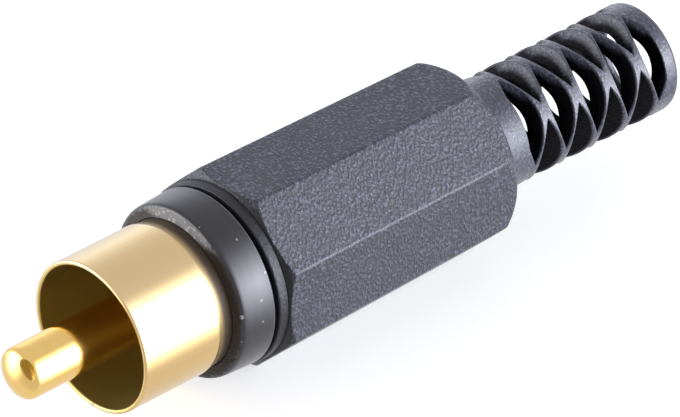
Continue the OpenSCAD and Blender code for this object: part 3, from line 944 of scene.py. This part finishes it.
class PLUG_OT_insulator(Operator):
    """Build the insulating disc that holds the pin."""
    bl_idname = "plug.insulator"
    bl_label = "Insulator"

    def execute(self, context):
        scene = context.scene
        sleeve = scene.plug_sleeve
        clearance = scene.plug_collar.clearance
        bore = scene.plug_pin.seat_radius + clearance
        hub = sleeve.neck_radius - sleeve.wall - clearance
        flange = COLLAR_LOW.x + sleeve.seat - sleeve.wall
        edge = scene.plug_pin.edge
        groove = DISC_LOW.x + 2 * edge
        points = [
            (DISC_LOW.x, DISC_HIGH.z, edge), (flange, DISC_HIGH.z, edge), (flange, hub, None),
            (DISC_HIGH.x, hub, edge), (DISC_HIGH.x, bore, edge), (DISC_LOW.x, bore, edge),
            (DISC_LOW.x, hub, edge), (groove, hub + edge, edge), (groove, DISC_HIGH.z - 4 * edge, edge),
            (DISC_LOW.x, DISC_HIGH.z - 3 * edge, edge),
        ]
        path = rounded_path(*profile(points, ROUND_COLUMNS))
        material = insulator_finish(scene.plug_colours)
        turned_piece("insulating_disc", path, material, "pin_insulator")
        return {"FINISHED"}


class PLUG_OT_collar(Operator):
    """Build the black collar with its threaded spigot."""
    bl_idname = "plug.collar"
    bl_label = "Front collar"

    def execute(self, context):
        scene = context.scene
        path = collar_path(scene.plug_collar, scene.plug_sleeve, even_angles(ROUND_COLUMNS))
        material = collar_finish(scene.plug_colours, scene.plug_collar)
        turned_piece("threaded_collar", path, material, "front_collar")
        return {"FINISHED"}


class PLUG_OT_tab(Operator):
    """Finish the ground tab, whose solid already has its true form."""
    bl_idname = "plug.tab"
    bl_label = "Ground tab"

    def execute(self, context):
        mesh = frame["nodes"]["ground_tab"].data
        mesh.materials.clear()
        mesh.materials.append(tab_finish(context.scene.plug_colours))
        return {"FINISHED"}


class PLUG_OT_cap(Operator):
    """Build the eight-sided cap with its bend relief."""
    bl_idname = "plug.cap"
    bl_label = "Cap and bend relief"

    def execute(self, context):
        scene = context.scene
        pitch = scene.plug_collar.thread_pitch
        surfaces, worn = cap_surfaces(scene.plug_cap, scene.plug_relief, pitch)
        material = cap_finish(scene.plug_colours, scene.plug_cap, scene.plug_relief)
        make_piece("grained_cap", surfaces, material, "cap", "cap", worn)
        return {"FINISHED"}


class PLUG_OT_stage(Operator):
    """Set up the floor, the light and the camera."""
    bl_idname = "plug.stage"
    bl_label = "Stage"

    def execute(self, context):
        scene = context.scene
        stage = scene.plug_stage
        scene.view_settings.view_transform = "Standard"
        add_floor(scene, stage)
        add_surroundings(scene, stage)
        for name in ("key_light", "rear_light", "left_light"):
            for mirrored in (True, False):
                add_softbox(scene, stage, name, mirrored)
        add_camera(scene, stage)
        return {"FINISHED"}


def bearing(azimuth, elevation):
    """Direction at an azimuth, from the near side towards the cable, and a height above the horizon."""
    flat = math.cos(elevation)
    return Vector((math.sin(azimuth) * flat, -math.cos(azimuth) * flat, math.sin(elevation)))


def add_floor(scene, stage):
    """Square floor under the lowest edge of the cap. Mirrors show the surroundings in its place."""
    size, low = stage.floor_size, CAP_LOW.z
    mesh = bpy.data.meshes.new("floor")
    corners = [(-size, -size, low), (size, -size, low), (size, size, low), (-size, size, low)]
    mesh.from_pydata(corners, [], [(0, 1, 2, 3)])
    mesh.materials.append(floor_finish(scene.plug_colours, stage))
    floor = bpy.data.objects.new("floor", mesh)
    floor.visible_glossy = False
    scene.collection.objects.link(floor)


def add_surroundings(scene, stage):
    """Pale surroundings: white to the camera, dimmer overhead and on one side in a mirror, weak as light."""
    world = bpy.data.worlds.new("surroundings")
    world.use_nodes = True
    nodes = Nodes(world.node_tree)
    path = nodes.add("ShaderNodeLightPath").outputs
    camera = path["Is Camera Ray"]
    mirror = nodes.most(path["Is Glossy Ray"], path["Is Transmission Ray"])
    outward = nodes.add("ShaderNodeTexCoord").outputs["Generated"]
    aside = nodes.add("ShaderNodeVectorMath", operation="DOT_PRODUCT")
    nodes.feed(outward, aside.inputs[0])
    nodes.feed(bearing(stage.dark_azimuth, 0.0), aside.inputs[1])
    shade = nodes.ramp(aside.outputs["Value"], 0.3, 0.85, 1.0, stage.dark_share)
    low, high = stage.horizon - stage.fill, stage.zenith - stage.fill
    mirrored = nodes.times(mirror, nodes.ramp(nodes.split(outward)["Z"], 0.0, 0.8, low, high))
    light = nodes.times(nodes.math("ADD", mirrored, stage.fill), shade)
    background = world.node_tree.nodes["Background"]
    nodes.feed(nodes.mix(camera, stage.cool, (1, 1, 1)), background.inputs["Color"])
    nodes.feed(nodes.most(light, camera), background.inputs["Strength"])
    scene.world = world


def add_softbox(scene, stage, name, mirrored):
    """Soft light, aimed at the target, whose brightness at a share d of the way from its middle to its edge
    is (1 - d)^3. Its power is pi times its area times its brightness. It is made twice: as it shows in
    mirrors, and as the light that it gives."""
    settings = getattr(scene, f"plug_{name}")
    light = bpy.data.lights.new(name, "AREA")
    light.size = settings.size
    light.color = settings.colour
    light.energy = (settings.strength if mirrored else settings.light) * math.pi * settings.size ** 2
    light.use_nodes = True
    nodes = Nodes(light.node_tree)
    middle = nodes.add("ShaderNodeVectorMath", operation="DISTANCE")
    nodes.feed(nodes.add("ShaderNodeNewGeometry").outputs["Parametric"], middle.inputs[0])
    nodes.feed((0.5, 0.5, 0.0), middle.inputs[1])
    share = nodes.math("MINIMUM", nodes.times(middle.outputs["Value"], 2.0), 1.0)
    faded = nodes.math("POWER", nodes.rest(share), 3.0)
    nodes.feed(faded, light.node_tree.nodes["Emission"].inputs["Strength"])
    lamp = bpy.data.objects.new(name, light)
    lamp.visible_camera = False
    lamp.visible_glossy = mirrored
    lamp.visible_diffuse = not mirrored
    direction = bearing(settings.azimuth, settings.elevation)
    place = Matrix.Translation(Vector(stage.target) + direction * stage.light_distance)
    lamp.matrix_world = place @ direction.to_track_quat("Z", "Y").to_matrix().to_4x4()
    scene.collection.objects.link(lamp)


def add_camera(scene, stage):
    """Camera at its azimuth, elevation and roll, aimed at the target."""
    camera = bpy.data.cameras.new("camera")
    camera.sensor_fit = "HORIZONTAL"
    camera.sensor_width = 36.0
    camera.lens = stage.lens
    right = Vector((math.cos(stage.azimuth), math.sin(stage.azimuth), 0))
    back = bearing(stage.azimuth, stage.elevation)
    turn = Matrix((right, back.cross(right), back)).transposed() @ Matrix.Rotation(stage.roll, 3, "Z")
    viewer = bpy.data.objects.new("camera", camera)
    viewer.matrix_world = Matrix.Translation(Vector(stage.target) + back * stage.distance) @ turn.to_4x4()
    scene.collection.objects.link(viewer)
    scene.camera = viewer


class PLUG_PT_sidebar(Panel):
    """Lists the steps that build the plug."""
    bl_label = "Phono plug"
    bl_space_type = "VIEW_3D"
    bl_region_type = "UI"
    bl_category = "Plug"

    def draw(self, context):
        for step in STEPS:
            self.layout.operator(step.bl_idname)


SETTINGS = {
    "plug_pin": PinSizes, "plug_sleeve": SleeveSizes, "plug_collar": CollarSizes, "plug_cap": CapSizes,
    "plug_relief": ReliefSizes, "plug_colours": FinishColours, "plug_stage": StageSettings,
    "plug_key_light": KeyLight, "plug_rear_light": RearLight, "plug_left_light": LeftLight,
}
STEPS = (
    PLUG_OT_pin, PLUG_OT_sleeve, PLUG_OT_insulator, PLUG_OT_collar, PLUG_OT_tab, PLUG_OT_cap, PLUG_OT_stage,
)
CLASSES = (*SETTINGS.values(), *STEPS, PLUG_PT_sidebar)


def register():
    """Registers the classes and hangs the settings on the scene."""
    for cls in CLASSES:
        bpy.utils.register_class(cls)
    for name, group in SETTINGS.items():
        setattr(bpy.types.Scene, name, PointerProperty(type=group))


def unregister():
    """Takes the settings and classes away again."""
    for name in SETTINGS:
        delattr(bpy.types.Scene, name)
    for cls in reversed(CLASSES):
        bpy.utils.unregister_class(cls)


def main():
    """Builds the plug and its stage, and writes the boxes of the solids and of the dressed plug."""
    register()
    bpy.ops.plug.pin()
    bpy.ops.plug.sleeve()
    bpy.ops.plug.insulator()
    bpy.ops.plug.collar()
    bpy.ops.plug.tab()
    bpy.ops.plug.cap()
    bpy.ops.plug.stage()


if __name__ == "__main__":
    main()
